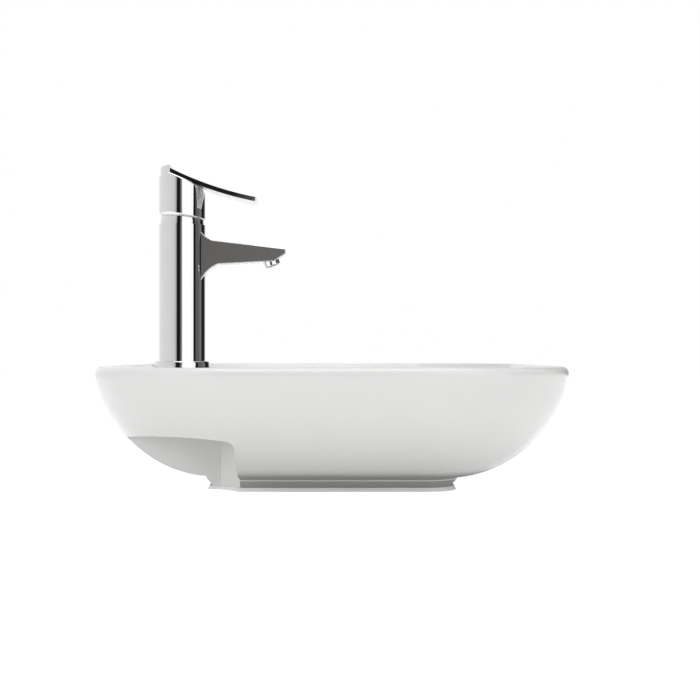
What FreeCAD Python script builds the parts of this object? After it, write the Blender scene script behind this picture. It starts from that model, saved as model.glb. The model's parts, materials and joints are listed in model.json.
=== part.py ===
import FreeCAD, Part
import math
import os

# Countertop basin with a tap ledge, a single-lever mixer and a push-plug waste.
# Millimetres. X is the width, the front is at -Y, Z is up. The origin is on the
# counter, under the middle of the foot.

V = FreeCAD.Vector
os.makedirs("parts", exist_ok=True)

# Basin, outside
basin_width = 560.0
basin_depth = 445.5
basin_height = 116.0
corner_radius = 136.95
seal_height = 3.5
foot_inset = 103.95
foot_height = 11.0
foot_taper = 6.0
foot_land = 1.0
cove_reach = 4.0
cove_rise = 1.5
wall_pull_foot = 64.0
wall_lift_foot = 7.2
wall_pull_rim = 30.0
wall_lean_rim = 3.2
bead_overhang = 0.2
bead_below_rim = 10.0
bead_widest_below_rim = 6.2
bead_round = 6.0

# Basin, rim, deck and bowl
rim_ledge_width = 12.0
rim_slope = 2.5
deck_drop = 5.0
deck_thickness = 12.0
deck_width = 114.75
bowl_inset = 14.0
bowl_floor = 31.0
bowl_flat = 18.0
bowl_edge_round = 7.2
bowl_edge_depth = 10.5
bowl_pull_floor = 70.0
bowl_lift_floor = 2.0
bowl_pull_edge = 41.0
bowl_lean_edge = 4.0
shell = 13.0
hollow_corner = 4.0
hollow_rise = 7.0

# Recess at each rear side of the foot
recess_depth = 27.8
recess_length = 33.5
recess_height = 55.2
recess_arch_r = 342.0
recess_arch_run = 56.0
recess_corner = 20.0
recess_ceiling_round = 7.0

# Sealing strip under the foot
seal_reach = 3.2
seal_lean = 1.6
seal_width = 11.0

# Waste
waste_tail_r = 20.9
waste_wall = 4.9
waste_hole_gap = 2.1
waste_flange_r = 32.5
waste_flange_h = 2.2
waste_flange_round = 0.8
waste_pocket_gap = 1.5
waste_pocket_depth = 2.0
waste_foot_gap = 2.0
waste_upper_seal_h = 1.0
waste_seal_setback = 3.0
waste_lower_seal_h = 2.5
waste_nut_h = 7.0
waste_spigot_r = 20.0
waste_spigot_length = 6.0
waste_nut_wall = 7.1
waste_thread_gap = 0.1
bar_width = 5.0
bar_height = 6.0
bar_rise = 10.0
stem_r = 4.0
stem_gap = 0.05
stem_rise = 6.0
barrel_wall = 3.0
barrel_rise = 4.0
barrel_plug_gap = 7.5
plug_edge_setback = 3.5
plug_edge_h = 2.4
plug_edge_round = 1.0
plug_crown = 2.2
plug_seal_out = 2.5
plug_seal_section = 1.6
plug_seal_gap = 0.1
plug_rest_gap = 0.3
plug_skirt_gap = 1.2
plug_skirt_wall = 2.0
plug_skirt_h = 4.0

# Mixer, body: heights below the column's top unless they say otherwise
tap_from_rear = 63.95
column_r = 24.4
column_height = 151.9
column_wall = 3.5
base_web_h = 14.0
manifold_h = 16.0
chamber_depth = 22.9
base_ring_width = 4.2
base_ring_h = 8.3
base_ring_lean = 0.5
base_ring_round = 1.8
base_gasket_h = 1.0
base_gasket_setback = 1.6
part_gap = 0.1
tap_hole_r = 17.5
stud_r = 4.0
stud_offset = 9.0
stud_tail = 7.5
inlet_x = 8.0
inlet_y = -4.0
inlet_thread_r = 5.0
inlet_thread_length = 11.0
inlet_way_r = 3.0
connector_r = 6.4
connector_drop = 42.0
connector_seat = 6.0
riser_r = 4.5
riser_seat = 4.0
outlet_y = -9.5
outlet_way_r = 3.6

# Mixer, clamp under the deck
clamp_r = 24.0
clamp_slot_half = 14.6
clamp_slot_start = 3.0
clamp_gasket_h = 3.0
clamp_washer_h = 3.0
clamp_nut_h = 12.0
clamp_nut_wall = 2.5

# Mixer, spout: reaches from the column's axis, drops from its top
spout_half_width = 12.6
spout_tip_half_width = 10.1
spout_reach = 110.0
spout_root_reach = 33.2
spout_root_drop = 16.6
spout_tip_drop = 25.5
spout_tip_h = 4.9
spout_bevel_back = 12.2
spout_bevel_drop = 38.4
spout_under_reach = 39.2
spout_under_drop = 41.6
spout_sweep_reach = 19.5
spout_upper_sweep_drop = 4.6
spout_lower_sweep_drop = 64.8
spout_upper_bend = 0.59
spout_lower_bend = 0.63
spout_round = 0.8
waterway_r = 4.5
waterway_drop = 29.4
waterway_end_gap = 3.0

# Aerator
aerator_tilt = 20.0
aerator_back = 14.0
aerator_drop = 42.8
aerator_r = 8.5
aerator_wall = 1.9
aerator_length = 11.0
aerator_edge_round = 0.5
aerator_seal_h = 1.2
aerator_seal_lip = 1.2
aerator_insert_h = 6.0
aerator_insert_rise = 1.2
aerator_hole_r = 0.7
aerator_holes = 12
aerator_hole_ring = 4.3

# Cartridge
pivot_rise = 3.1
housing_r = 17.4
chamber_gap = 0.8
housing_step = 1.5
housing_wall = 1.4
housing_shoulder_drop = 7.9
housing_rise = 12.1
housing_base_h = 10.0
housing_lid_h = 2.0
housing_lid_r = 11.5
disc_h = 3.5
fixed_disc_gap = 0.3
moving_disc_r = 10.2
moving_disc_h = 4.3
disc_pocket_gap = 0.4
disc_pocket_depth = 3.2
disc_gap = 0.3
driver_gap = 0.07
ball_r = 3.4
spindle_neck_r = 2.6
spindle_foot = 4.5
spindle_side = 7.0
spindle_rise = 42.1
spindle_slot_half_y = 8.2
spindle_gap = 0.4
pin_r = 1.5
pin_half = 11.0
pin_gap = 0.05
port_seal_out = 1.6
port_seal_section = 0.8
nut_head_h = 6.0
nut_wall = 1.5
nut_bore_gap = 0.1

# Dome and lever: rises above the column's top
dome_setback = 1.6
dome_wall = 1.8
dome_opening_r = 14.5
handle_gap = 0.35
handle_rear_low_rise = 9.6
handle_rear_low_round = 6.0
handle_front_low_round = 0.8
handle_top_round = 1.8
handle_front_low_rise = 5.8
handle_shoulder_rise = 29.6
handle_shoulder_y = 13.5
handle_shoulder_bulge = 3.6
handle_step_rise = 50.2
handle_step_reach = 13.0
blade_setback = 1.5
blade_rear_rise = 63.5
blade_post_rise = 62.0
blade_rear_round = 2.0
blade_rear_y = 20.4
blade_mid_y = -18.9
blade_mid_rise = 45.3
blade_tip_y = -79.8
blade_tip_rise = 27.7
blade_thickness = 4.5
blade_half_width = 20.3
blade_tip_half_width = 20.2
blade_tip_round = 1.0
hub_overlap = 0.2
socket_gap = 0.05
screw_r = 2.5
screw_length = 12.0
screw_rise = 35.1
index_r = 3.6
index_depth = 3.0
index_gap = 0.05

# Places in the basin
foot_u = corner_radius - foot_inset
half_x = basin_width / 2 - corner_radius
half_y = basin_depth / 2 - corner_radius
deck_z = basin_height - deck_drop
deck_under_z = deck_z - deck_thickness
bowl_radius = corner_radius - bowl_inset
bowl_front_y = -basin_depth / 2 + bowl_inset
bowl_rear_y = basin_depth / 2 - deck_width
bowl_y = (bowl_front_y + bowl_rear_y) / 2
bowl_half_y = (bowl_rear_y - bowl_front_y) / 2 - bowl_radius
floor_under_z = bowl_floor - shell
recess_inner_x = half_x + foot_u - recess_depth
recess_front_y = half_y + foot_u - recess_length
above = basin_height + 20.0

# Places in the waste
waste_y = bowl_y
waste_bore_r = waste_tail_r - waste_wall
waste_hole_r = waste_tail_r + waste_hole_gap
waste_pocket_r = waste_flange_r + waste_pocket_gap
waste_seal_r = waste_flange_r - waste_seal_setback
waste_thread_r = waste_tail_r + waste_thread_gap
barrel_r = stem_r + barrel_wall
plug_r = waste_flange_r - plug_edge_setback
plug_seal_r = waste_bore_r + plug_seal_out
plug_skirt_r = waste_bore_r - plug_skirt_gap

# Places in the mixer
tap_y = basin_depth / 2 - tap_from_rear
tap_base_z = deck_z + base_gasket_h
column_top = tap_base_z + column_height
column_bore_r = column_r - column_wall
chamber_floor = column_top - chamber_depth
chamber_r = housing_r + chamber_gap
manifold_bottom = chamber_floor - manifold_h
web_top = tap_base_z + base_web_h
inlet_line_y = tap_y + inlet_y
riser_low = web_top - riser_seat
riser_high = manifold_bottom + riser_seat
base_ring_r = column_r + base_ring_width
base_gasket_r = base_ring_r - base_gasket_setback
stud_y = tap_y + stud_offset
aerator_reach = spout_reach - aerator_back
aerator_z = column_top - aerator_drop
aerator_bore_r = aerator_r - aerator_wall
pivot_z = column_top + pivot_rise
housing_neck_r = housing_r - housing_step
housing_bore_r = housing_neck_r - housing_wall
housing_shoulder_z = column_top - housing_shoulder_drop
housing_top = column_top + housing_rise
spindle_top = column_top + spindle_rise
handle_r = column_r
dome_r = handle_r - dome_setback
blade_r = handle_r - blade_setback
screw_z = column_top + screw_rise
far_above = column_top + 200.0


def save(name, *shapes):
    shape = shapes[0] if len(shapes) == 1 else Part.makeCompound(list(shapes))
    shape.exportStep("parts/" + name + ".step")
    print(name, len(shape.Solids), round(shape.Volume / 1000.0, 2), "cm3", shape.isValid())


def cylinder(r, z0, z1, y=0.0, x=0.0):
    return Part.makeCylinder(r, z1 - z0, V(x, y, z0))


def tube(r_out, r_in, z0, z1, y=0.0, x=0.0):
    return cylinder(r_out, z0, z1, y, x).cut(cylinder(r_in, z0 - 1, z1 + 1, y, x))


def hexagon(flats, z0, z1, y=0.0, x=0.0):
    corner = flats / 2 / math.cos(math.radians(30))
    points = []
    for k in range(7):
        a = math.radians(60 * k)
        points.append(V(x + corner * math.cos(a), y + corner * math.sin(a), z0))
    return Part.Face(Part.makePolygon(points)).extrude(V(0, 0, z1 - z0))


def segment(a, b):
    return Part.LineSegment(a, b).toShape()


def side_slab(edges, half):
    """A side outline in the YZ plane, made as thick as twice half, about the middle."""
    face = Part.Face(Part.Wire(edges))
    face.translate(V(-half, 0, 0))
    return face.extrude(V(2 * half, 0, 0))


def round_edges(shape, radius, r, z, y):
    """Round the edge of a turned shape that is a circle of radius r at height z."""
    picked = []
    for e in shape.Edges:
        box = e.BoundBox
        level = abs(box.ZMin - z) < 0.01 and abs(box.ZMax - z) < 0.01
        if level and abs(box.XMax - r) < 0.01 and abs(box.YMax - y - r) < 0.01:
            picked.append(e)
    return shape.makeFillet(radius, picked)


def line(a, b):
    return Part.LineSegment(V(a[0], 0, a[1]), V(b[0], 0, b[1])).toShape()


def arc(a, m, b):
    return Part.Arc(V(a[0], 0, a[1]), V(m[0], 0, m[1]), V(b[0], 0, b[1])).toShape()


def curve(*poles):
    bezier = Part.BezierCurve()
    bezier.setPoles([V(u, 0, z) for u, z in poles])
    return bezier.toShape()


def round_rectangle(edges, z_low, z_high, x_half, y_half, y_mid):
    """Carry a half profile, out from its axis, round a rectangle with turned corners."""
    axis = line((0, z_high), (0, z_low))
    face = Part.Face(Part.Wire(edges + [axis]))
    up = V(0, 0, 1)
    pieces = [Part.makeBox(2 * x_half, 2 * y_half, z_high - z_low, V(-x_half, y_mid - y_half, z_low))]
    corners = [(x_half, y_half), (-x_half, y_half), (-x_half, -y_half), (x_half, -y_half)]
    for k, (x, y) in enumerate(corners):
        side = face.copy()
        side.rotate(V(0, 0, 0), up, 90 * k)
        quarter = side.copy()
        quarter.translate(V(x, y_mid + y, 0))
        pieces.append(quarter.revolve(V(x, y_mid + y, 0), up, 90))
        x_from, y_from = corners[k - 1]
        side.translate(V(x_from, y_mid + y_from, 0))
        pieces.append(side.extrude(V(x - x_from, y - y_from, 0)))
    return pieces[0].multiFuse(pieces[1:]).removeSplitter()


def outer_solid():
    wall_foot = (foot_u + cove_reach, foot_height + cove_rise)
    wall_rim = (corner_radius - bead_overhang, basin_height - bead_below_rim)
    widest = (corner_radius, basin_height - bead_widest_below_rim)
    rim = (corner_radius - bead_round, basin_height)
    diagonal = math.sqrt(0.5)
    rim_mid = (rim[0] + bead_round * diagonal, widest[1] + bead_widest_below_rim * diagonal)
    bead_mid = (widest[0] - bead_overhang * 0.25, (wall_rim[1] + widest[1]) / 2)
    cove_mid = (foot_u + cove_reach * 0.3, foot_height + cove_rise * 0.72)
    edges = [
        line((0, seal_height), (foot_u - foot_taper, seal_height)),
        line((foot_u - foot_taper, seal_height), (foot_u, foot_height - foot_land)),
        line((foot_u, foot_height - foot_land), (foot_u, foot_height)),
        arc((foot_u, foot_height), cove_mid, wall_foot),
        curve(wall_foot, (wall_foot[0] + wall_pull_foot, wall_foot[1] + wall_lift_foot),
              (wall_rim[0] - wall_lean_rim, wall_rim[1] - wall_pull_rim), wall_rim),
        arc(wall_rim, bead_mid, widest),
        arc(widest, rim_mid, rim),
        line(rim, (0, basin_height)),
    ]
    return round_rectangle(edges, seal_height, basin_height, half_x, half_y, 0.0)


def deck_recess():
    low = corner_radius - rim_ledge_width
    edges = [
        line((0, deck_z), (low, deck_z)),
        line((low, deck_z), (low + rim_slope, basin_height)),
        line((low + rim_slope, basin_height), (low + rim_slope, above)),
        line((low + rim_slope, above), (0, above)),
    ]
    return round_rectangle(edges, deck_z, above, half_x, half_y, 0.0)


def bowl_solid(grow):
    """The bowl's hollow, or with grow the ceramic's underside round it."""
    floor = bowl_floor - grow
    edge_u = bowl_radius - bowl_edge_round + grow
    edge_z = deck_z - bowl_edge_depth
    out = edge_u if grow else bowl_radius
    edges = [
        line((0, floor), (bowl_flat, floor)),
        curve((bowl_flat, floor), (bowl_flat + bowl_pull_floor + grow * 0.8, floor + bowl_lift_floor),
              (edge_u - bowl_lean_edge, edge_z - bowl_pull_edge), (edge_u, edge_z)),
    ]
    if grow:
        edges.append(line((edge_u, edge_z), (edge_u, above)))
    else:
        edges.append(curve((edge_u, edge_z), (edge_u + bowl_lean_edge * 0.2, deck_z), (out, deck_z)))
        edges.append(line((out, deck_z), (out, above)))
    edges.append(line((out, above), (0, above)))
    return round_rectangle(edges, floor, above, half_x, bowl_half_y, bowl_y)


def underside_hollow():
    foot_in = foot_u - shell
    top_u = corner_radius - shell - bead_overhang
    start = (foot_in + hollow_corner, foot_height + shell + cove_rise)
    edges = [
        line((0, -1), (foot_in, -1)),
        line((foot_in, -1), (foot_in, start[1] - hollow_rise)),
        line((foot_in, start[1] - hollow_rise), start),
        curve(start, (start[0] + wall_pull_foot, start[1] + wall_lift_foot),
              (top_u - wall_lean_rim, deck_under_z - wall_pull_rim), (top_u, deck_under_z)),
        line((top_u, deck_under_z), (0, deck_under_z)),
    ]
    return round_rectangle(edges, -1, deck_under_z, half_x, half_y, 0.0)


def side_recess(side, grow):
    """The recess at one rear side of the foot, or with grow the space that its walls take."""
    x_in = recess_inner_x - grow
    y_in = recess_front_y - grow
    bevel = recess_corner + grow * (2 - math.sqrt(2))
    far_x = basin_width
    far_y = basin_depth / 2 + corner_radius / 2
    plan = [
        V(x_in, far_y, -1), V(x_in, y_in + bevel, -1), V(x_in + bevel, y_in, -1), V(far_x, y_in, -1),
        V(far_x, far_y, -1), V(x_in, far_y, -1),
    ]
    block = Part.Face(Part.makePolygon(plan)).extrude(V(0, 0, far_above))
    arch_r = recess_arch_r + grow
    axis = V(-far_x, recess_front_y + recess_arch_run, recess_height - recess_arch_r)
    block = block.common(Part.makeCylinder(arch_r, 3 * far_x, axis, V(1, 0, 0)))
    if not grow:
        ceiling = []
        for e in block.Edges:
            box = e.BoundBox
            inner = box.XMax < far_x - 1 or box.YMax < far_y - 1
            if box.ZMin > recess_height / 2 and box.XMin < far_x - 1 and box.YMin < far_y - 1 and inner:
                ceiling.append(e)
        block = block.makeFillet(recess_ceiling_round, ceiling)
    if side < 0:
        block = block.mirror(V(0, 0, 0), V(1, 0, 0))
    return block


def basin_body():
    body = outer_solid()
    body = body.cut(deck_recess())
    body = body.cut(bowl_solid(0.0))
    hollow = underside_hollow().cut(bowl_solid(shell))
    for side in (1, -1):
        hollow = hollow.cut(side_recess(side, shell))
    body = body.cut(hollow)
    for side in (1, -1):
        body = body.cut(side_recess(side, 0.0))
    body = body.cut(cylinder(tap_hole_r, deck_under_z - 1, above, tap_y))
    body = body.cut(cylinder(waste_hole_r, 0, bowl_floor + 1, waste_y))
    body = body.cut(cylinder(waste_pocket_r, bowl_floor - waste_pocket_depth, bowl_floor + 1, waste_y))
    save("basin_body", body)


def foot_block(inset, lean):
    """The foot's outline taken in all round, also along the side recesses, and leaning out below."""
    top_u = foot_u - foot_taper - inset
    edges = [
        line((0, 0), (top_u + lean, 0)),
        line((top_u + lean, 0), (top_u, seal_height)),
        line((top_u, seal_height), (0, seal_height)),
    ]
    block = round_rectangle(edges, 0, seal_height, half_x, half_y, 0.0)
    for side in (1, -1):
        block = block.cut(side_recess(side, inset))
    return block


def foot_seal():
    strip = foot_block(-seal_reach, seal_lean)
    save("foot_seal", strip.cut(foot_block(seal_width - seal_reach, 0.0)))


def waste():
    pocket_z = bowl_floor - waste_pocket_depth
    flange_z = pocket_z + waste_upper_seal_h
    flange_top = flange_z + waste_flange_h
    save("waste_upper_seal", tube(waste_seal_r, waste_thread_r, pocket_z, flange_z, waste_y))

    flange = cylinder(waste_flange_r, flange_z, flange_top, waste_y)
    flange = round_edges(flange, waste_flange_round, waste_flange_r, flange_top, waste_y)
    spigot_top = waste_foot_gap + waste_spigot_length
    body = flange.fuse(cylinder(waste_tail_r, spigot_top, flange_top, waste_y))
    body = body.fuse(cylinder(waste_spigot_r, waste_foot_gap, flange_top, waste_y)).removeSplitter()
    body = body.cut(cylinder(waste_bore_r, 0, above, waste_y))
    bar_z = waste_foot_gap + bar_rise
    bar = Part.makeBox(2 * waste_bore_r + 1, bar_width, bar_height,
                       V(-waste_bore_r - 0.5, waste_y - bar_width / 2, bar_z))
    cross = bar.copy()
    cross.rotate(V(0, waste_y, 0), V(0, 0, 1), 90)
    body = body.fuse([bar, cross]).cut(cylinder(barrel_r, 0, above, waste_y)).removeSplitter()
    save("waste_body", body)

    seal_z = floor_under_z - waste_lower_seal_h
    save("waste_lower_seal", tube(waste_seal_r, waste_thread_r, seal_z, floor_under_z, waste_y))
    nut = hexagon(2 * (waste_tail_r + waste_nut_wall), seal_z - waste_nut_h, seal_z, waste_y)
    save("waste_locknut", nut.cut(cylinder(waste_thread_r, seal_z - waste_nut_h - 1, seal_z + 1, waste_y)))

    plug_z = flange_top + plug_rest_gap
    barrel_z = waste_foot_gap + barrel_rise
    barrel_top = plug_z - barrel_plug_gap
    save("plug_barrel", tube(barrel_r, stem_r + stem_gap, barrel_z, barrel_top, waste_y))

    save("plug_stem", cylinder(stem_r, waste_foot_gap + stem_rise, plug_z, waste_y))
    rim_top = plug_z + plug_edge_h
    crown_top = rim_top + plug_crown
    ball = (plug_r ** 2 + plug_crown ** 2) / (2 * plug_crown)
    crown = Part.makeSphere(ball, V(0, waste_y, crown_top - ball))
    crown = crown.common(cylinder(plug_r, rim_top, crown_top + 1, waste_y))
    cap = cylinder(plug_r, plug_z, rim_top, waste_y).fuse(crown).removeSplitter()
    cap = round_edges(cap, plug_edge_round, plug_r, rim_top, waste_y)
    skirt = tube(plug_skirt_r, plug_skirt_r - plug_skirt_wall, plug_z - plug_skirt_h, plug_z, waste_y)
    ring = Part.makeTorus(plug_seal_r, plug_seal_section, V(0, waste_y, plug_z))
    save("plug_cap", cap.fuse(skirt).cut(ring))
    kept = cylinder(plug_r, flange_top + plug_seal_gap, plug_z + plug_seal_section, waste_y)
    save("plug_seal", ring.common(kept))


def spout_solid():
    """Side outline of the spout, with its sweeps into the column, given its taper in plan."""
    def at(reach, drop):
        return V(0, tap_y - reach, column_top - drop)

    upper_y = spout_root_reach - spout_sweep_reach
    upper_z = spout_root_drop - spout_upper_sweep_drop
    upper_mid_reach = spout_root_reach - upper_y * spout_upper_bend
    upper_mid = at(upper_mid_reach, spout_upper_sweep_drop + upper_z * spout_upper_bend)
    lower_y = spout_under_reach - spout_sweep_reach
    lower_z = spout_lower_sweep_drop - spout_under_drop
    lower_mid_reach = spout_under_reach - lower_y * spout_lower_bend
    lower_mid = at(lower_mid_reach, spout_lower_sweep_drop - lower_z * spout_lower_bend)
    top_in = at(0, spout_upper_sweep_drop)
    top_sweep = at(spout_sweep_reach, spout_upper_sweep_drop)
    top_root = at(spout_root_reach, spout_root_drop)
    tip_top = at(spout_reach, spout_tip_drop)
    tip_low = at(spout_reach, spout_tip_drop + spout_tip_h)
    bevel = at(spout_reach - spout_bevel_back, spout_bevel_drop)
    under = at(spout_under_reach, spout_under_drop)
    low_sweep = at(spout_sweep_reach, spout_lower_sweep_drop)
    low_in = at(0, spout_lower_sweep_drop)
    edges = [
        segment(top_in, top_sweep),
        Part.Arc(top_sweep, upper_mid, top_root).toShape(),
        segment(top_root, tip_top),
        segment(tip_top, tip_low),
        segment(tip_low, bevel),
        segment(bevel, under),
        Part.Arc(under, lower_mid, low_sweep).toShape(),
        segment(low_sweep, low_in),
        segment(low_in, top_in),
    ]
    slab = side_slab(edges, spout_half_width)
    plan = [
        (-spout_half_width, 0.0), (spout_half_width, 0.0), (spout_tip_half_width, spout_reach + 1),
        (-spout_tip_half_width, spout_reach + 1), (-spout_half_width, 0.0),
    ]
    outline = Part.makePolygon([V(x, tap_y - reach, 0) for x, reach in plan])
    spout = slab.common(Part.Face(outline).extrude(V(0, 0, far_above)))
    free = []
    for e in spout.Edges:
        if e.BoundBox.YMax < tap_y - spout_sweep_reach + 1 and e.Length > 2 * spout_round:
            free.append(e)
    return spout.makeFillet(spout_round, free)


def tilt_to_aerator(shape):
    """Turn a shape made upright at the origin into the aerator's tilted place."""
    shape.rotate(V(0, 0, 0), V(1, 0, 0), -aerator_tilt)
    shape.translate(V(0, tap_y - aerator_reach, aerator_z))
    return shape


def tap_body():
    column = cylinder(column_r, tap_base_z, column_top, tap_y)
    body = column.fuse(spout_solid()).removeSplitter()
    body = body.cut(cylinder(column_bore_r, web_top, manifold_bottom, tap_y))
    body = body.cut(cylinder(chamber_r, chamber_floor, far_above, tap_y))
    body = body.cut(cylinder(stud_r + part_gap / 2, 0, web_top + 1, stud_y))
    seat_top = tap_base_z + connector_seat
    for x in (-inlet_x, inlet_x):
        body = body.cut(cylinder(inlet_way_r, 0, chamber_floor + 1, inlet_line_y, x))
        body = body.cut(cylinder(connector_r + part_gap / 2, 0, seat_top, inlet_line_y, x))
        body = body.cut(cylinder(riser_r + part_gap / 2, riser_low, riser_high, inlet_line_y, x))
    water_z = column_top - waterway_drop
    body = body.cut(cylinder(outlet_way_r, water_z, chamber_floor + 1, tap_y + outlet_y))
    run = aerator_reach + outlet_y - waterway_end_gap
    body = body.cut(Part.makeCylinder(waterway_r, run, V(0, tap_y + outlet_y, water_z), V(0, -1, 0)))
    pocket = cylinder(aerator_r + part_gap, -spout_reach, aerator_length + aerator_seal_h)
    save("tap_body", body.cut(tilt_to_aerator(pocket)))


def tap_inlets():
    low = tap_base_z - connector_drop
    risers = []
    for name, x in (("hot_connector", -inlet_x), ("cold_connector", inlet_x)):
        connector = tube(connector_r, inlet_way_r, low, tap_base_z + connector_seat, inlet_line_y, x)
        thread = cylinder(inlet_thread_r, low - 1, low + inlet_thread_length, inlet_line_y, x)
        save(name, connector.cut(thread))
        risers.append(tube(riser_r, inlet_way_r, riser_low, riser_high, inlet_line_y, x))
    save("riser_tubes", *risers)


def tap_base():
    save("base_gasket", tube(base_gasket_r, tap_hole_r, deck_z, tap_base_z, tap_y))
    top = tap_base_z + base_ring_h
    ring = Part.makeCone(base_ring_r + base_ring_lean, base_ring_r, base_ring_h, V(0, tap_y, tap_base_z))
    ring = round_edges(ring, base_ring_round, base_ring_r, top, tap_y)
    save("base_ring", ring.cut(cylinder(column_r + part_gap, 0, far_above, tap_y)))


def clamp_plate(z0, z1):
    plate = cylinder(clamp_r, z0, z1, tap_y)
    slot = Part.makeBox(2 * clamp_slot_half, clamp_r + clamp_slot_start, z1 - z0 + 2,
                        V(-clamp_slot_half, tap_y - clamp_r, z0 - 1))
    return plate.cut(slot).cut(cylinder(stud_r + part_gap, z0 - 1, z1 + 1, stud_y))


def tap_clamp():
    gasket_z = deck_under_z - clamp_gasket_h
    washer_z = gasket_z - clamp_washer_h
    nut_z = washer_z - clamp_nut_h
    save("mounting_stud", cylinder(stud_r, nut_z - stud_tail, web_top, stud_y))
    save("horseshoe_gasket", clamp_plate(gasket_z, deck_under_z))
    save("horseshoe_washer", clamp_plate(washer_z, gasket_z))
    nut = hexagon(2 * (stud_r + clamp_nut_wall), nut_z, washer_z, stud_y)
    save("mounting_nut", nut.cut(cylinder(stud_r + part_gap / 2, 0, above, stud_y)))


def cartridge():
    disc_z = chamber_floor + housing_base_h
    top_disc_z = disc_z + disc_h
    lid_z = housing_top - housing_lid_h
    housing = cylinder(housing_r, chamber_floor, housing_shoulder_z, tap_y)
    housing = housing.fuse(cylinder(housing_neck_r, chamber_floor, housing_top, tap_y)).removeSplitter()
    housing = housing.cut(cylinder(housing_bore_r, disc_z, lid_z, tap_y))
    housing = housing.cut(cylinder(housing_lid_r, disc_z, far_above, tap_y))
    fixed = cylinder(housing_bore_r - fixed_disc_gap, disc_z, top_disc_z, tap_y)
    rings = []
    seal_r = inlet_way_r + port_seal_out
    seal_z = chamber_floor + port_seal_section
    groove_out = seal_r + port_seal_section
    groove_in = seal_r - port_seal_section
    hot = (-inlet_x, inlet_y, inlet_way_r)
    cold = (inlet_x, inlet_y, inlet_way_r)
    mixed = (0.0, outlet_y, outlet_way_r)
    for x, y, r in (hot, cold, mixed):
        port = cylinder(r, chamber_floor - 1, top_disc_z + 1, tap_y + y, x)
        ring = Part.makeTorus(seal_r, port_seal_section, V(x, tap_y + y, seal_z))
        groove = tube(groove_out, groove_in, chamber_floor - 1, seal_z, tap_y + y, x)
        housing = housing.cut(port).cut(ring).cut(groove)
        fixed = fixed.cut(port)
        rings.append(ring)
    save("cartridge_housing", housing)
    save("inlet_seals", *rings)
    save("fixed_disc", fixed)

    pocket_z = top_disc_z + moving_disc_h - disc_pocket_depth
    moving = cylinder(moving_disc_r, top_disc_z, top_disc_z + moving_disc_h, tap_y)
    save("moving_disc", moving.cut(cylinder(ball_r + disc_pocket_gap, pocket_z, far_above, tap_y)))

    driver_z = top_disc_z + moving_disc_h + disc_gap
    driver = cylinder(housing_bore_r - driver_gap, driver_z, lid_z - disc_gap, tap_y)
    slot_x = spindle_side / 2 + spindle_gap
    driver = driver.cut(Part.makeBox(2 * slot_x, 2 * spindle_slot_half_y, far_above,
                                     V(-slot_x, tap_y - spindle_slot_half_y, 0)))
    pin = Part.makeCylinder(pin_r, 2 * pin_half, V(-pin_half, tap_y, pivot_z), V(1, 0, 0))
    save("cartridge_driver", driver.cut(pin))
    save("spindle_pin", pin)

    half = spindle_side / 2
    bar_z = pivot_z - spindle_foot
    ball_z = pocket_z + disc_gap + ball_r
    spindle = Part.makeBox(spindle_side, spindle_side, spindle_top - bar_z, V(-half, tap_y - half, bar_z))
    spindle = spindle.fuse(cylinder(spindle_neck_r, ball_z, bar_z + 1, tap_y))
    spindle = spindle.fuse(Part.makeSphere(ball_r, V(0, tap_y, ball_z)))
    eye = Part.makeCylinder(pin_r + pin_gap, spindle_side + 2, V(-half - 1, tap_y, pivot_z), V(1, 0, 0))
    save("lever_spindle", spindle.cut(eye))

    nut = cylinder(chamber_r - part_gap, housing_shoulder_z, column_top, tap_y)
    head = hexagon(2 * (housing_neck_r + nut_wall), column_top, column_top + nut_head_h, tap_y)
    save("retaining_nut", nut.fuse(head).cut(cylinder(housing_neck_r + nut_bore_gap, 0, far_above, tap_y)))


def dome_cover():
    centre = V(0, tap_y, pivot_z)
    inner_r = dome_r - dome_wall
    dome = Part.makeSphere(dome_r, centre).cut(Part.makeSphere(inner_r, centre))
    dome = dome.common(cylinder(dome_r + 1, pivot_z, far_above, tap_y))
    dome = dome.fuse(tube(dome_r, inner_r, column_top, pivot_z, tap_y))
    save("dome_cover", dome.cut(cylinder(dome_opening_r, pivot_z, far_above, tap_y)))


def blade_arc(drop):
    """Three points on the side arc of the blade's top, or that far below it."""
    points = [
        V(0, tap_y + blade_rear_y, column_top + blade_rear_rise),
        V(0, tap_y + blade_mid_y, column_top + blade_mid_rise),
        V(0, tap_y + blade_tip_y, column_top + blade_tip_rise),
    ]
    circle = Part.Arc(*points).toShape().Curve
    moved = []
    for p in points:
        ray = p - circle.Center
        ray.normalize()
        moved.append(circle.Center + ray * (circle.Radius + drop))
    return moved


def blade_circle(drop):
    return Part.Arc(*blade_arc(drop)).toShape().Curve


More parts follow.
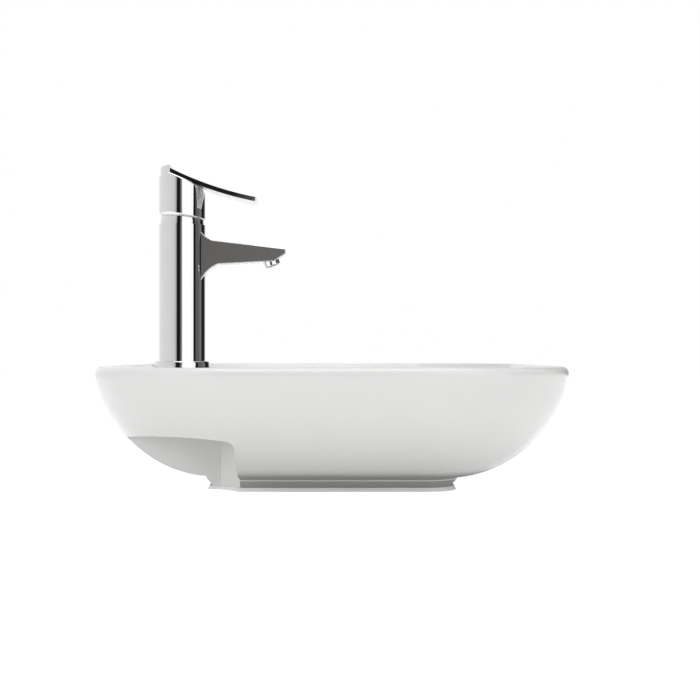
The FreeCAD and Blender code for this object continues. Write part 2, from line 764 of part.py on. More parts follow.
def blade_solid():
    mid, tip = blade_arc(0.0)[1:]
    low_rear, low_mid, low_tip = blade_arc(blade_thickness)
    circle = blade_circle(0.0)
    back_y = tap_y + math.sqrt(blade_r ** 2 - blade_half_width ** 2)
    post_z = column_top + blade_post_rise
    post_foot_z = circle.Center.z - math.sqrt(circle.Radius ** 2 - (back_y - circle.Center.y) ** 2)
    post_foot = V(0, back_y, post_foot_z)
    post_front = V(0, back_y, post_z)
    out_y = tap_y + handle_r
    edges = [
        Part.Arc(post_foot, mid, tip).toShape(),
        segment(tip, low_tip),
        Part.Arc(low_tip, low_mid, low_rear).toShape(),
        segment(low_rear, V(0, out_y, low_rear.z)),
        segment(V(0, out_y, low_rear.z), V(0, out_y, post_z)),
        segment(V(0, out_y, post_z), post_front),
        segment(post_front, post_foot),
    ]
    tip_y = tap_y + blade_tip_y - blade_thickness
    taper = [
        V(-blade_half_width, back_y, 0), V(blade_half_width, back_y, 0), V(blade_tip_half_width, tip_y, 0),
        V(-blade_tip_half_width, tip_y, 0), V(-blade_half_width, back_y, 0),
    ]
    plan = Part.Face(Part.makePolygon(taper)).extrude(V(0, 0, far_above))
    rear_round = Part.makeBox(2 * blade_half_width, blade_r, far_above, V(-blade_half_width, back_y, 0))
    plan = plan.fuse(rear_round.common(cylinder(blade_r, 0, far_above, tap_y))).removeSplitter()
    blade = side_slab(edges, blade_r + 1).common(plan)
    rear_edge = []
    for e in blade.Edges:
        if e.BoundBox.ZMin > post_z - 0.01 and e.BoundBox.YMax > tap_y + blade_r - 0.01:
            rear_edge.append(e)
    blade = blade.makeFillet(blade_rear_round, rear_edge)
    tip_corners = []
    for e in blade.Edges:
        box = e.BoundBox
        if box.YMax < tap_y + blade_tip_y + blade_thickness and box.XLength < 0.1 * blade_thickness:
            tip_corners.append(e)
    return blade.makeFillet(blade_tip_round, tip_corners)


def hub_solid():
    """The handle's round hub under the blade, with its stepped rear and its rounded shoulder."""
    front = tap_y - handle_r - 1
    back = tap_y + handle_r + 1
    slope = (handle_rear_low_rise - handle_front_low_rise) / (2 * handle_r)
    low_front = V(0, front, column_top + handle_front_low_rise - slope)
    low_back = V(0, back, column_top + handle_rear_low_rise + slope)
    shoulder = V(0, front, column_top + handle_shoulder_rise)
    step_z = column_top + handle_step_rise
    circle = blade_circle(blade_thickness - hub_overlap)

    def in_blade(y):
        dy = y - circle.Center.y
        return V(0, y, circle.Center.z - math.sqrt(circle.Radius ** 2 - dy ** 2))

    neck = in_blade(tap_y - handle_shoulder_y)
    step = in_blade(tap_y + handle_step_reach)
    middle = in_blade(tap_y)
    rear = in_blade(tap_y + blade_rear_y)
    fall = (step.z - neck.z) / (step.y - neck.y)
    top_front = V(0, front, neck.z + (front - neck.y) * fall)
    top_back = V(0, back, neck.z + (back - neck.y) * fall)
    hub_edges = [
        segment(low_front, low_back),
        segment(low_back, top_back),
        segment(top_back, top_front),
        segment(top_front, low_front),
    ]
    left_half = Part.makeCylinder(handle_r, far_above, V(0, tap_y, 0), V(0, 0, 1), 180)
    left_half.rotate(V(0, tap_y, 0), V(0, 0, 1), 90)
    right_half = left_half.mirror(V(0, 0, 0), V(1, 0, 0))
    hub = side_slab(hub_edges, handle_r + 1).common(left_half.fuse(right_half))
    low_rim = []
    for e in hub.Edges:
        runs_forward = e.Vertexes[0].Y > e.Vertexes[-1].Y + handle_r
        if runs_forward and e.BoundBox.XLength > handle_r / 2 and e.BoundBox.ZMax < low_back.z + 1:
            low_rim.append(e)
    hub = hub.makeFillet(handle_rear_low_round, handle_front_low_round, low_rim)
    top_rim = []
    for e in hub.Edges:
        if e.BoundBox.XLength > handle_r / 2 and e.BoundBox.ZMin > top_front.z - 1:
            top_rim.append(e)
    hub = hub.makeFillet(handle_top_round, top_rim)
    high = top_back.z + 1
    bulge = V(0, front + handle_shoulder_bulge, (shoulder.z + neck.z) / 2 + handle_shoulder_bulge / 2)
    shoulder_edges = [
        Part.Arc(neck, bulge, shoulder).toShape(),
        segment(shoulder, V(0, front, high)),
        segment(V(0, front, high), V(0, neck.y, high)),
        segment(V(0, neck.y, high), neck),
    ]
    hub = hub.cut(side_slab(shoulder_edges, handle_r + 1))
    corner = V(-handle_r - 1, step.y, step_z)
    hub = hub.cut(Part.makeBox(2 * handle_r + 2, handle_r, high - step_z, corner))
    collar_low = V(0, tap_y, pivot_z + dome_r)
    collar_back = V(0, back, pivot_z + dome_r)
    collar_edges = [
        segment(collar_low, collar_back),
        segment(collar_back, V(0, back, rear.z)),
        segment(V(0, back, rear.z), rear),
        segment(rear, middle),
        segment(middle, collar_low),
    ]
    collar = side_slab(collar_edges, blade_r + 1).common(cylinder(blade_r, 0, far_above, tap_y))
    return hub.fuse(collar)


def lever_handle():
    handle = hub_solid().fuse(blade_solid()).removeSplitter()
    handle = handle.cut(Part.makeSphere(dome_r + handle_gap, V(0, tap_y, pivot_z)))
    side = spindle_side + 2 * socket_gap
    socket_h = spindle_top - pivot_z + socket_gap
    socket = Part.makeBox(side, side, socket_h, V(-side / 2, tap_y - side / 2, pivot_z))
    hole = Part.makeCylinder(screw_r + socket_gap, handle_r, V(0, tap_y, screw_z), V(0, 1, 0))
    seat_y = tap_y + handle_r - index_depth
    seat = Part.makeCylinder(index_r + index_gap, handle_r, V(0, seat_y, screw_z), V(0, 1, 0))
    save("lever_handle", handle.cut(socket).cut(hole).cut(seat))

    screw_y = tap_y + spindle_side / 2 + socket_gap
    save("handle_screw", Part.makeCylinder(screw_r, screw_length, V(0, screw_y, screw_z), V(0, 1, 0)))
    plug = Part.makeCylinder(index_r, index_depth, V(0, seat_y, screw_z), V(0, 1, 0))
    save("index_plug", plug.common(cylinder(handle_r, 0, far_above, tap_y)))


def aerator():
    seal_top = aerator_length + aerator_seal_h
    seal = tube(aerator_r, aerator_bore_r - aerator_seal_lip, aerator_length, seal_top)
    save("aerator_seal", tilt_to_aerator(seal))
    ring = cylinder(aerator_r, 0, aerator_length)
    ring = round_edges(ring, aerator_edge_round, aerator_r, 0, 0.0)
    save("aerator_housing", tilt_to_aerator(ring.cut(cylinder(aerator_bore_r, -1, seal_top))))
    low = aerator_insert_rise
    insert = cylinder(aerator_bore_r - part_gap / 2, low, low + aerator_insert_h)
    for k in range(aerator_holes):
        a = 2 * math.pi * k / aerator_holes
        x = aerator_hole_ring * math.cos(a)
        y = aerator_hole_ring * math.sin(a)
        insert = insert.cut(cylinder(aerator_hole_r, 0, aerator_length, y, x))
    save("aerator_insert", tilt_to_aerator(insert))


basin_body()
foot_seal()
waste()
tap_body()
tap_inlets()
tap_base()
tap_clamp()
cartridge()
dome_cover()
lever_handle()
aerator()
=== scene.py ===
import json
import math

import bmesh
import bpy
from mathutils import Matrix, Vector


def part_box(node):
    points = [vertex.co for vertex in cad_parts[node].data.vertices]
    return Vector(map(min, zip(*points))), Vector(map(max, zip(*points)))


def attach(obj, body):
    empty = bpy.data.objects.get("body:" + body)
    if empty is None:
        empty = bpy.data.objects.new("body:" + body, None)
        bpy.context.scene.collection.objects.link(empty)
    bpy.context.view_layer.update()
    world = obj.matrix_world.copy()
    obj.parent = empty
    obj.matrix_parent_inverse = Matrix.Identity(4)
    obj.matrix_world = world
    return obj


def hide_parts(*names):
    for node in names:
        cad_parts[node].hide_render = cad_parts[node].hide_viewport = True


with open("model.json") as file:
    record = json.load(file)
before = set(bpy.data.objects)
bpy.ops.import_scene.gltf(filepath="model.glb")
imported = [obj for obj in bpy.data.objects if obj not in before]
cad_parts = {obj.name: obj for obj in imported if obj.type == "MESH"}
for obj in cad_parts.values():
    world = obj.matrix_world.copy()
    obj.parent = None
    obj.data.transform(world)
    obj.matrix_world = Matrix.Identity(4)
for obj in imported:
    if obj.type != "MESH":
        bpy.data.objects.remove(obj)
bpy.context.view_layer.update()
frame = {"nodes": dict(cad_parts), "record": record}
print("frame loaded,", len(frame["nodes"]), "nodes")


def linear(hexColour):
    channels = [int(hexColour[i:i + 2], 16) / 255 for i in (1, 3, 5)]
    return [c / 12.92 if c <= 0.04045 else ((c + 0.055) / 1.055) ** 2.4 for c in channels] + [1.0]


def grey(level):
    return (level, level, level, 1)


def addNode(tree, kind, inputs=None, **settings):
    node = tree.nodes.new(kind)
    for name, value in settings.items():
        setattr(node, name, value)
    for key, value in (inputs or {}).items():
        if isinstance(value, bpy.types.NodeSocket):
            tree.links.new(value, node.inputs[key])
        else:
            node.inputs[key].default_value = value
    return node


def calc(tree, operation, first, second):
    return addNode(tree, "ShaderNodeMath", {0: first, 1: second}, operation=operation).outputs[0]


# A Mix node has one set of sockets for numbers and another for colours
def mixNumber(tree, share, first, second):
    return addNode(tree, "ShaderNodeMix", {0: share, 2: first, 3: second}).outputs[0]


def mixColour(tree, share, first, second):
    return addNode(tree, "ShaderNodeMix", {0: share, 6: first, 7: second}, data_type="RGBA").outputs[2]


def noise(tree, coords, perMetre, detail):
    inputs = {"Vector": coords, "Scale": perMetre, "Detail": detail}
    return addNode(tree, "ShaderNodeTexNoise", inputs).outputs["Fac"]


def spread(tree, value, low, high):
    inputs = {"Value": value, "To Min": low, "To Max": high}
    return addNode(tree, "ShaderNodeMapRange", inputs).outputs["Result"]


def ramped(tree, value, zeroAt, oneAt):
    inputs = {"Value": value, "From Min": zeroAt, "From Max": oneAt}
    return addNode(tree, "ShaderNodeMapRange", inputs).outputs["Result"]


def axesOf(tree, vector):
    return addNode(tree, "ShaderNodeSeparateXYZ", {"Vector": vector}).outputs


# 1 where the surface looks down more steeply than the limit
def facingDown(tree, limit):
    normal = addNode(tree, "ShaderNodeNewGeometry").outputs["Normal"]
    return calc(tree, "LESS_THAN", axesOf(tree, normal)["Z"], limit)


def bumped(tree, height, strength, depthMm):
    inputs = {"Height": height, "Strength": strength, "Distance": depthMm / 1000}
    return addNode(tree, "ShaderNodeBump", inputs).outputs["Normal"]


def newMaterial(name):
    material = bpy.data.materials.new(name)
    material.use_nodes = True
    tree = material.node_tree
    tree.nodes.clear()
    coords = addNode(tree, "ShaderNodeTexCoord").outputs["Object"]
    return material, tree, coords


def closeMaterial(tree, shaderInputs):
    shader = addNode(tree, "ShaderNodeBsdfPrincipled", shaderInputs)
    addNode(tree, "ShaderNodeOutputMaterial", {"Surface": shader.outputs["BSDF"]})


# Vitreous china, dipped in white glaze and fired: glossy, with a slow ripple where the glaze ran.
# The foot's undercut, low down where it faces downward, is painted shade: made grey and matt there to stand
# for the shadow that falls under the foot.
glazeLook = {"white": "#EEEEED", "thin": "#E9E9E8", "poolMm": 120.0, "roughness": 0.11, "ior": 1.52,
             "rippleMm": 38.0, "reliefDepthMm": 0.05, "reliefStrength": 0.6,
             "paintedShadeGrey": "#B4B3B1", "undercutRoughness": 0.75, "gritPerMetre": 900.0,
             "shadeBelowMm": 23.5, "shadeFadeMm": 8.0, "shadeFacingDown": -0.25}


def makeGlaze():
    look = glazeLook
    material, tree, coords = newMaterial("whiteGlazedChina")
    pool = noise(tree, coords, 1000 / look["poolMm"], 2.0)
    ripple = noise(tree, coords, 1000 / look["rippleMm"], 1.0)
    grit = noise(tree, coords, look["gritPerMetre"], 3.0)
    # Painted shade: grey and matt on the low, downward-facing undercut of the foot, fading out upwards
    edge = look["shadeBelowMm"] / 1000
    low = ramped(tree, axesOf(tree, coords)["Z"], edge, edge - look["shadeFadeMm"] / 1000)
    shadedUndercut = calc(tree, "MULTIPLY", low, facingDown(tree, look["shadeFacingDown"]))
    glazed = mixColour(tree, pool, linear(look["white"]), linear(look["thin"]))
    relief = mixNumber(tree, shadedUndercut, ripple, grit)
    closeMaterial(tree, {"Base Color": mixColour(tree, shadedUndercut, glazed, linear(look["paintedShadeGrey"])),
                         "Roughness": mixNumber(tree, shadedUndercut, look["roughness"], look["undercutRoughness"]),
                         "IOR": look["ior"],
                         "Normal": bumped(tree, relief, look["reliefStrength"], look["reliefDepthMm"])})
    return material


# Nickel and chromium plate on brass: a mirror with a faint haze from wiping, and satin underneath,
# where the buffing wheel doesn't reach.
chromeLook = {"plate": "#DDDDDE", "haze": "#D3D3D4", "hazeMm": 14.0, "roughness": 0.008,
              "hazeRoughness": 0.03, "waveMm": 22.0, "waveDepthMm": 0.003, "waveStrength": 0.5,
              "satinFacingDown": -0.6, "satinRoughness": 0.3}


def makeChrome():
    look = chromeLook
    material, tree, coords = newMaterial("chromePlatedBrass")
    haze = noise(tree, coords, 1000 / look["hazeMm"], 4.0)
    wave = noise(tree, coords, 1000 / look["waveMm"], 1.0)
    buffed = spread(tree, haze, look["roughness"], look["hazeRoughness"])
    under = facingDown(tree, look["satinFacingDown"])
    closeMaterial(tree, {"Base Color": mixColour(tree, haze, linear(look["plate"]), linear(look["haze"])),
                         "Metallic": 1.0,
                         "Roughness": mixNumber(tree, under, buffed, look["satinRoughness"]),
                         "Normal": bumped(tree, wave, look["waveStrength"], look["waveDepthMm"])})
    return material


# Bare brass or steel, turned on a lathe: rings round the upright axis, about 5 mm apart.
# Real tool marks are finer: these are coarse enough to show.
turnedLook = {"turnedBrass": {"light": "#C6A968", "dark": "#A98B4C", "roughness": 0.32},
              "zincSteel": {"light": "#C2C4C6", "dark": "#A4A7AA", "roughness": 0.34},
              "every": {"ringScale": 62.5, "ringDistortion": 0.4, "ringDepthMm": 0.04, "ringStrength": 0.25,
                        "cloudPerMetre": 90.0, "smoother": 0.06, "rougher": 0.08}}


def makeTurned(name):
    look = {**turnedLook["every"], **turnedLook[name]}
    material, tree, coords = newMaterial(name)
    wave = {"Vector": coords, "Scale": look["ringScale"], "Distortion": look["ringDistortion"], "Detail": 1.0}
    rings = addNode(tree, "ShaderNodeTexWave", wave, bands_direction="Z").outputs["Fac"]
    cloud = noise(tree, coords, look["cloudPerMetre"], 3.0)
    low, high = look["roughness"] - look["smoother"], look["roughness"] + look["rougher"]
    closeMaterial(tree, {"Base Color": mixColour(tree, cloud, linear(look["light"]), linear(look["dark"])),
                         "Metallic": 1.0,
                         "Roughness": spread(tree, cloud, low, high),
                         "Normal": bumped(tree, rings, look["ringStrength"], look["ringDepthMm"])})
    return material


# Moulded rubber and plastics, and lapped disc ceramic: a soft grain, and clouds where dust sticks.
mouldedLook = {
    "blackSealRubber": {"colour": "#1B1B1C", "dusty": "#2A2A2B", "grainMm": 0.9, "roughness": 0.62},
    "paleSiliconeStrip": {"colour": "#FAFAF9", "dusty": "#F4F4F3", "grainMm": 2.2, "roughness": 0.45},
    "ivoryAcetal": {"colour": "#DEDCD3", "dusty": "#D2CFC4", "grainMm": 1.4, "roughness": 0.4},
    "greyAcetal": {"colour": "#B9BABB", "dusty": "#A9AAAB", "grainMm": 1.0, "roughness": 0.38},
    "lappedAlumina": {"colour": "#F0EEE6", "dusty": "#E6E2D6", "grainMm": 0.8, "roughness": 0.22},
    "every": {"grainDepthMm": 0.08, "grainStrength": 0.3, "cloudPerMetre": 60.0, "swing": 0.05},
}


def makeMoulded(name):
    look = {**mouldedLook["every"], **mouldedLook[name]}
    material, tree, coords = newMaterial(name)
    grain = noise(tree, coords, 1000 / look["grainMm"], 2.0)
    cloud = noise(tree, coords, look["cloudPerMetre"], 2.0)
    low, high = look["roughness"] - look["swing"], look["roughness"] + look["swing"]
    closeMaterial(tree, {"Base Color": mixColour(tree, cloud, linear(look["colour"]), linear(look["dusty"])),
                         "Roughness": spread(tree, cloud, low, high),
                         "Normal": bumped(tree, grain, look["grainStrength"], look["grainDepthMm"])})
    return material


# Injection-moulded cap of the handle's screw, one half red and one half blue.
markerLook = {"hot": "#B3272B", "cold": "#2A4F9E", "roughness": 0.25, "blendMm": 0.15}


def makeMarker():
    look = markerLook
    material, tree, coords = newMaterial("hotColdMarkerPlastic")
    blend = look["blendMm"] / 1000
    side = ramped(tree, axesOf(tree, coords)["X"], -blend, blend)
    closeMaterial(tree, {"Base Color": mixColour(tree, side, linear(look["hot"]), linear(look["cold"])),
                         "Roughness": look["roughness"]})
    return material


finishes = {"glaze": makeGlaze(), "chrome": makeChrome(), "brass": makeTurned("turnedBrass"),
            "steel": makeTurned("zincSteel"), "rubber": makeMoulded("blackSealRubber"),
            "strip": makeMoulded("paleSiliconeStrip"), "cartridge_plastic": makeMoulded("ivoryAcetal"),
            "aerator_plastic": makeMoulded("greyAcetal"), "disc_ceramic": makeMoulded("lappedAlumina"),
            "marker": makeMarker()}
slotOf = {s["node"]: s["material_slot"] for s in frame["record"]["subparts"]}
bodyOf = {n: b for b, members in frame["record"]["behaviour"]["bodies"].items() for n in members}
for name, node in frame["nodes"].items():
    for s in node.material_slots:
        s.material = finishes[slotOf[name]]
print("materials made:", len(finishes))


polishing = {"nodes": ["basin_body", "foot_seal", "tap_body", "lever_handle", "dome_cover", "base_ring",
                       "aerator_housing", "waste_body", "plug_cap"],
             "mergeMm": 0.002, "sharpDeg": 24.0, "finerSharpDeg": {"lever_handle": 11.0}, "flatFirst": 80,
             "turnedSidesMm": {"lever_handle": [24.4, 22.9], "tap_body": [24.4]},
             "turnedWithinMm": 0.03, "uprightWithin": 0.02}


# A turned side shades as a true cylinder round the column, whatever triangles it is cut into
def trueRound(mesh, radiiMm):
    low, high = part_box("base_ring")
    axis = ((low + high) / 2).xy
    near = polishing["turnedWithinMm"] / 1000
    directions = [corner.vector.copy() for corner in mesh.corner_normals]
    for face in mesh.polygons:
        arms = [mesh.vertices[v].co.xy - axis for v in face.vertices]
        turned = any(all(abs(arm.length - mm / 1000) < near for arm in arms) for mm in radiiMm)
        if turned and abs(face.normal.z) < polishing["uprightWithin"]:
            for corner, arm in zip(face.loop_indices, arms):
                directions[corner] = arm.normalized().to_3d()
    mesh.normals_split_custom_set(directions)


# The CAD piece again, as one welded mesh that shades smoothly up to its real edges
def polish(name):
    mesh = frame["nodes"][name].data.copy()
    mesh.name = name + "Polished"
    merge = polishing["mergeMm"] / 1000
    work = bmesh.new()
    work.from_mesh(mesh)
    bmesh.ops.remove_doubles(work, verts=work.verts, dist=merge)
    bmesh.ops.dissolve_degenerate(work, edges=work.edges, dist=merge / 2)
    for face in work.faces:
        face.smooth = True
    sharp = math.radians(polishing["finerSharpDeg"].get(name, polishing["sharpDeg"]))
    for edge in work.edges:
        edge.smooth = edge.is_manifold and edge.calc_face_angle(0.0) < sharp
    work.to_mesh(mesh)
    work.free()
    mesh.materials.clear()
    mesh.materials.append(finishes[slotOf[name]])
    piece = bpy.data.objects.new(name + "Polished", mesh)
    bpy.context.scene.collection.objects.link(piece)
    even = piece.modifiers.new("evenShading", "WEIGHTED_NORMAL")  # large faces keep their own direction
    even.keep_sharp = True
    even.weight = polishing["flatFirst"]
    shaded = bpy.data.meshes.new_from_object(piece.evaluated_get(bpy.context.evaluated_depsgraph_get()))
    piece.modifiers.clear()
    if name in polishing["turnedSidesMm"]:
        trueRound(shaded, polishing["turnedSidesMm"][name])
    piece.data = shaded
    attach(piece, bodyOf[name])
    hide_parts(name)


for name in polishing["nodes"]:
    polish(name)
print("polished pieces:", len(polishing["nodes"]))


def newTree(name, inputs):
    tree = bpy.data.node_groups.new(name, "GeometryNodeTree")
    tree.interface.new_socket("Geometry", in_out="INPUT", socket_type="NodeSocketGeometry")
    for label, kind in inputs.items():
        tree.interface.new_socket(label, in_out="INPUT", socket_type="NodeSocket" + kind)
    tree.interface.new_socket("Geometry", in_out="OUTPUT", socket_type="NodeSocketGeometry")
    return tree, addNode(tree, "NodeGroupInput").outputs


def closeTree(tree, geometry, given):
    whole = addNode(tree, "GeometryNodeRealizeInstances", {"Geometry": geometry})
    dressed = addNode(tree, "GeometryNodeSetMaterial", {"Geometry": whole.outputs[0],
                                                        "Material": given["Finish"]})
    addNode(tree, "NodeGroupOutput", {"Geometry": dressed.outputs[0]})


# Runs a tree on an empty holder and keeps the result as a plain mesh in the row's frame
def bakeTree(tree, values, name, body, slot):
    holder = bpy.data.objects.new(name + "Holder", bpy.data.meshes.new(name + "Holder"))
    bpy.context.scene.collection.objects.link(holder)
    modifier = holder.modifiers.new("shape", "NODES")
    modifier.node_group = tree
    values = dict(values, Finish=finishes[slot])
    for item in tree.interface.items_tree:
        if item.in_out == "INPUT" and item.name in values:
            modifier[item.identifier] = values[item.name]
    mesh = bpy.data.meshes.new_from_object(holder.evaluated_get(bpy.context.evaluated_depsgraph_get()))
    holder.modifiers.clear()
    bpy.data.objects.remove(holder)
    mesh.name = name
    piece = bpy.data.objects.new(name, mesh)
    bpy.context.scene.collection.objects.link(piece)
    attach(piece, body)
    print(name, len(mesh.polygons), "faces")


def circle(tree, sides, radius):
    inputs = {"Resolution": sides, "Radius": radius}
    return addNode(tree, "GeometryNodeCurvePrimitiveCircle", inputs).outputs[0]


# Rolled thread on the stud, where it stands clear of its nut
thread = {"node": "mounting_stud", "slot": "brass", "radiusMm": 4.0, "pitchMm": 1.25, "ridgeMm": 0.42,
          "riseMm": 0.7, "lengthMm": 6.2, "stepsPerTurn": 40, "ridgeSides": 4}


def makeThread():
    tree, given = newTree("rolledThread", {"Radius": "Float", "Turns": "Float", "Length": "Float",
                                           "Ridge": "Float", "Foot": "Vector", "Finish": "Material"})
    helix = addNode(tree, "GeometryNodeCurveSpiral", {"Resolution": thread["stepsPerTurn"],
                                                      "Rotations": given["Turns"], "Height": given["Length"],
                                                      "Start Radius": given["Radius"],
                                                      "End Radius": given["Radius"]})
    ridge = circle(tree, thread["ridgeSides"], given["Ridge"])
    sweep = addNode(tree, "GeometryNodeCurveToMesh", {"Curve": helix.outputs[0], "Profile Curve": ridge,
                                                      "Fill Caps": True})
    placed = addNode(tree, "GeometryNodeTransform", {"Geometry": sweep.outputs[0],
                                                     "Translation": given["Foot"]})
    closeTree(tree, placed.outputs[0], given)
    low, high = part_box(thread["node"])
    foot = ((low.x + high.x) / 2, (low.y + high.y) / 2, low.z + thread["riseMm"] / 1000)
    bakeTree(tree, {"Radius": thread["radiusMm"] / 1000, "Turns": thread["lengthMm"] / thread["pitchMm"],
                    "Length": thread["lengthMm"] / 1000, "Ridge": thread["ridgeMm"] / 1000, "Foot": foot},
             "studThread", bodyOf[thread["node"]], thread["slot"])


# Honeycomb screen across the aerator's mouth
screen = {"cellMm": 1.5, "wireMm": 0.16, "wireSides": 4, "rows": 13, "radiusMm": 6.3, "cellReach": 0.6,
          "tiltDeg": -20.0, "mouth": (0.0, 0.0628, 0.2211), "insideMm": 0.55}


def makeScreen():
    tree, given = newTree("honeycombScreen", {"Cell": "Float", "Wire": "Float", "Radius": "Float",
                                              "Tilt": "Vector", "Mouth": "Vector", "Finish": "Material"})
    # Points of a grid, every second row pushed by half a cell
    rows = screen["rows"]
    span = calc(tree, "MULTIPLY", given["Cell"], rows - 1.0)
    rise = calc(tree, "MULTIPLY", span, math.sqrt(0.75))
    grid = addNode(tree, "GeometryNodeMeshGrid", {"Size X": span, "Size Y": rise, "Vertices X": rows,
                                                  "Vertices Y": rows}).outputs["Mesh"]
    row = calc(tree, "MODULO", addNode(tree, "GeometryNodeInputIndex").outputs[0], float(rows))
    odd = calc(tree, "MODULO", row, 2.0)
    push = calc(tree, "MULTIPLY", odd, calc(tree, "MULTIPLY", given["Cell"], 0.5))
    offset = addNode(tree, "ShaderNodeCombineXYZ", {"X": push}).outputs[0]
    grid = addNode(tree, "GeometryNodeSetPosition", {"Geometry": grid, "Offset": offset}).outputs[0]
    # Those inside the mouth
    place = addNode(tree, "GeometryNodeInputPosition").outputs[0]
    reach = addNode(tree, "ShaderNodeVectorMath", {0: place}, operation="LENGTH").outputs["Value"]
    outside = addNode(tree, "FunctionNodeCompare", {0: reach, 1: given["Radius"]}, operation="GREATER_THAN")
    spots = addNode(tree, "GeometryNodeDeleteGeometry", {"Geometry": grid, "Selection": outside.outputs[0]})
    # A hexagon of wire on each
    side = calc(tree, "MULTIPLY", given["Cell"], math.sqrt(1 / 3))
    turned = addNode(tree, "GeometryNodeTransform", {"Geometry": circle(tree, 6, side),
                                                     "Rotation": (0, 0, math.radians(30))})
    wire = circle(tree, screen["wireSides"], given["Wire"])
    hexagon = addNode(tree, "GeometryNodeCurveToMesh", {"Curve": turned.outputs[0], "Profile Curve": wire})
    cells = addNode(tree, "GeometryNodeInstanceOnPoints", {"Points": spots.outputs[0],
                                                           "Instance": hexagon.outputs[0]})
    placed = addNode(tree, "GeometryNodeTransform", {"Geometry": cells.outputs[0], "Rotation": given["Tilt"],
                                                     "Translation": given["Mouth"]})
    closeTree(tree, placed.outputs[0], given)
    tilt = math.radians(screen["tiltDeg"])
    inward = Matrix.Rotation(tilt, 3, "X") @ Vector((0, 0, screen["insideMm"] / 1000))
    radiusMm = screen["radiusMm"] - screen["cellMm"] * screen["cellReach"]
    bakeTree(tree, {"Cell": screen["cellMm"] / 1000, "Wire": screen["wireMm"] / 1000,
                    "Radius": radiusMm / 1000, "Tilt": (tilt, 0, 0),
                    "Mouth": Vector(screen["mouth"]) + inward},
             "aeratorScreen", "basin", "steel")


makeThread()
makeScreen()


paleFloor = {"metres": 12.0, "colour": "#FAFAFA", "greyForLight": 0.85, "whiteGlow": 0.8, "mirrorGlow": 0.6}


# White where it is seen, a little darker in mirrors, and plain grey for the light that it throws back
def makeFloor():
    half = paleFloor["metres"] / 2
    mesh = bpy.data.meshes.new("paleFloor")
    corners = [(-half, -half, 0), (half, -half, 0), (half, half, 0), (-half, half, 0)]
    mesh.from_pydata(corners, [], [(0, 1, 2, 3)])
    floor = bpy.data.objects.new("paleFloor", mesh)
    bpy.context.scene.collection.objects.link(floor)
    material, tree, _ = newMaterial("paleFloorPaint")
    rays = addNode(tree, "ShaderNodeLightPath").outputs
    seen = calc(tree, "MAXIMUM", rays["Is Camera Ray"], rays["Is Glossy Ray"])
    seen = calc(tree, "MAXIMUM", seen, rays["Is Transmission Ray"])
    strength = mixNumber(tree, rays["Is Glossy Ray"], paleFloor["whiteGlow"], paleFloor["mirrorGlow"])
    paint = addNode(tree, "ShaderNodeBsdfDiffuse", {"Color": linear(paleFloor["colour"])})
    glow = addNode(tree, "ShaderNodeEmission", {"Strength": strength})
    shown = addNode(tree, "ShaderNodeAddShader", {0: paint.outputs[0], 1: glow.outputs[0]})
    dim = addNode(tree, "ShaderNodeBsdfDiffuse", {"Color": grey(paleFloor["greyForLight"])})
    both = addNode(tree, "ShaderNodeMixShader", {0: seen, 1: dim.outputs[0], 2: shown.outputs[0]})
    addNode(tree, "ShaderNodeOutputMaterial", {"Surface": both.outputs[0]})
    mesh.materials.append(material)


# Flats are what mirrors see round the part: degrees from the camera's side towards the front, and a level.
# The dark ones are slightly warm. Higher up, mirrors see an even ceiling.
surround = {"greyForLight": 0.3, "ceiling": 0.72, "ceilingFrom": 0.55, "ceilingFull": 0.8,
            "warmBelow": 0.4, "warmth": 0.04,
            "flats": [(-180, 1.0), (-150, 1.04), (-60, 0.92), (-36, 0.86), (-28, 0.72), (-22.5, 0.42),
                      (-19, 0.012), (-8, 0.012), (-3.5, 0.02), (-2.8, 0.17), (2.6, 0.2), (5.5, 0.6), (8, 1.5),
                      (48, 1.5), (52, 1.25), (56, 1.5), (62.5, 1.3), (65, 0.01), (75, 0.012), (79, 0.15),
                      (95, 0.14), (110, 0.26), (124, 0.012), (140, 0.012), (153, 0.12), (165, 0.6),
                      (174, 1.0)]}


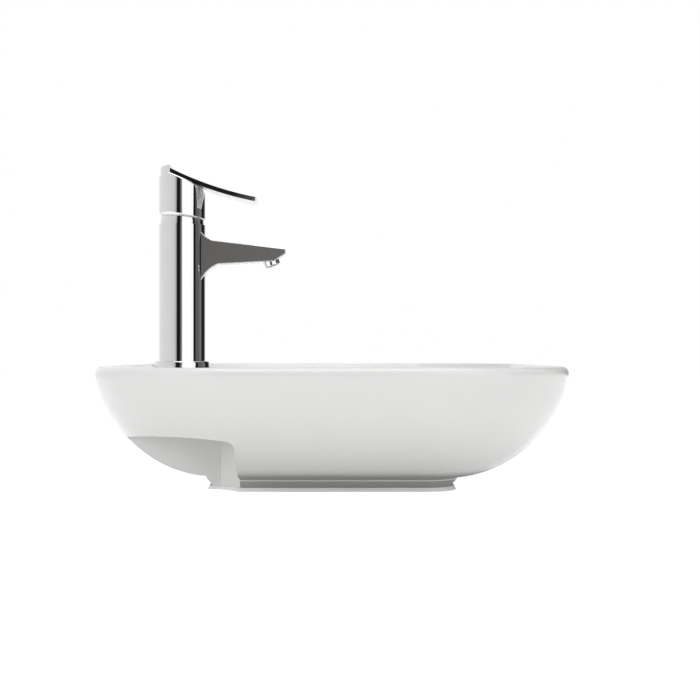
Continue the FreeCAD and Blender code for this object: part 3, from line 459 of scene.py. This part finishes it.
def makeWorld():
    world = bpy.data.worlds.new("softStudio")
    world.use_nodes = True
    bpy.context.scene.world = world
    tree = world.node_tree
    tree.nodes.clear()
    way = axesOf(tree, addNode(tree, "ShaderNodeTexCoord").outputs["Generated"])
    towardsCamera = calc(tree, "MULTIPLY", way["X"], -1.0)
    towardsFront = calc(tree, "MULTIPLY", way["Y"], -1.0)
    turn = calc(tree, "ARCTAN2", towardsFront, towardsCamera)
    ramp = addNode(tree, "ShaderNodeValToRGB", {"Fac": ramped(tree, turn, -math.pi, math.pi)})
    stops = ramp.color_ramp.elements
    for k, (degrees, level) in enumerate(surround["flats"]):
        place = degrees / 360 + 0.5
        stop = stops[k] if k < 2 else stops.new(place)  # a new ramp has two stops
        stop.position = place
        warmth = surround["warmth"] if level < surround["warmBelow"] else 0.0
        stop.color = (level * (1 + warmth), level, level * (1 - warmth), 1)
    high = ramped(tree, way["Z"], surround["ceilingFrom"], surround["ceilingFull"])
    mirrored = mixColour(tree, high, ramp.outputs["Color"], grey(surround["ceiling"]))
    rays = addNode(tree, "ShaderNodeLightPath").outputs
    sky = mixColour(tree, rays["Is Glossy Ray"], grey(surround["greyForLight"]), mirrored)
    seen = calc(tree, "MAXIMUM", rays["Is Camera Ray"], rays["Is Transmission Ray"])
    backdrop = addNode(tree, "ShaderNodeBackground", {"Color": mixColour(tree, seen, sky, grey(1.0))})
    addNode(tree, "ShaderNodeOutputWorld", {"Surface": backdrop.outputs[0]})


lamps = {"overheadSoftbox": {"watts": 16.0, "metres": 1.6, "place": (-0.2, -0.1, 1.9), "mirrored": True},
         "frontSoftbox": {"watts": 44.0, "metres": 2.0, "place": (-2.1, -1.7, 0.05), "mirrored": False},
         "rearSoftbox": {"watts": 18.0, "metres": 1.2, "place": (-1.3, 1.9, 0.4), "mirrored": False},
         "farSoftbox": {"watts": 36.0, "metres": 2.0, "place": (2.4, -0.5, 0.02), "mirrored": False}}
lampsAimAt = Vector((0, 0, 0.1))


def makeLamp(name):
    light = bpy.data.lights.new(name, "AREA")
    light.energy = lamps[name]["watts"]
    light.size = lamps[name]["metres"]
    lamp = bpy.data.objects.new(name, light)
    lamp.location = lamps[name]["place"]
    lamp.rotation_euler = (lampsAimAt - lamp.location).to_track_quat("-Z", "Y").to_euler()
    lamp.visible_glossy = lamps[name]["mirrored"]
    bpy.context.scene.collection.objects.link(lamp)


makeFloor()
makeWorld()
for name in lamps:
    makeLamp(name)
print("studio lit")


view = {"place": (-1.378, 0.0, 0.1277), "focalPixels": 1300.0, "imagePixels": 700.0,
        "axisRightOfMiddle": -18.0, "axisBelowMiddle": 4.0, "sensorMm": 36.0}


def makeCamera():
    lens = bpy.data.cameras.new("sideView")
    lens.sensor_width = view["sensorMm"]
    lens.lens = view["focalPixels"] / view["imagePixels"] * lens.sensor_width
    lens.shift_x = -view["axisRightOfMiddle"] / view["imagePixels"]
    lens.shift_y = view["axisBelowMiddle"] / view["imagePixels"]
    camera = bpy.data.objects.new("sideView", lens)
    camera.location = view["place"]
    camera.rotation_euler = (math.radians(90), 0, math.radians(-90))
    bpy.context.scene.collection.objects.link(camera)
    bpy.context.scene.camera = camera


makeCamera()
bpy.context.scene.view_settings.view_transform = "Standard"
print("camera set")
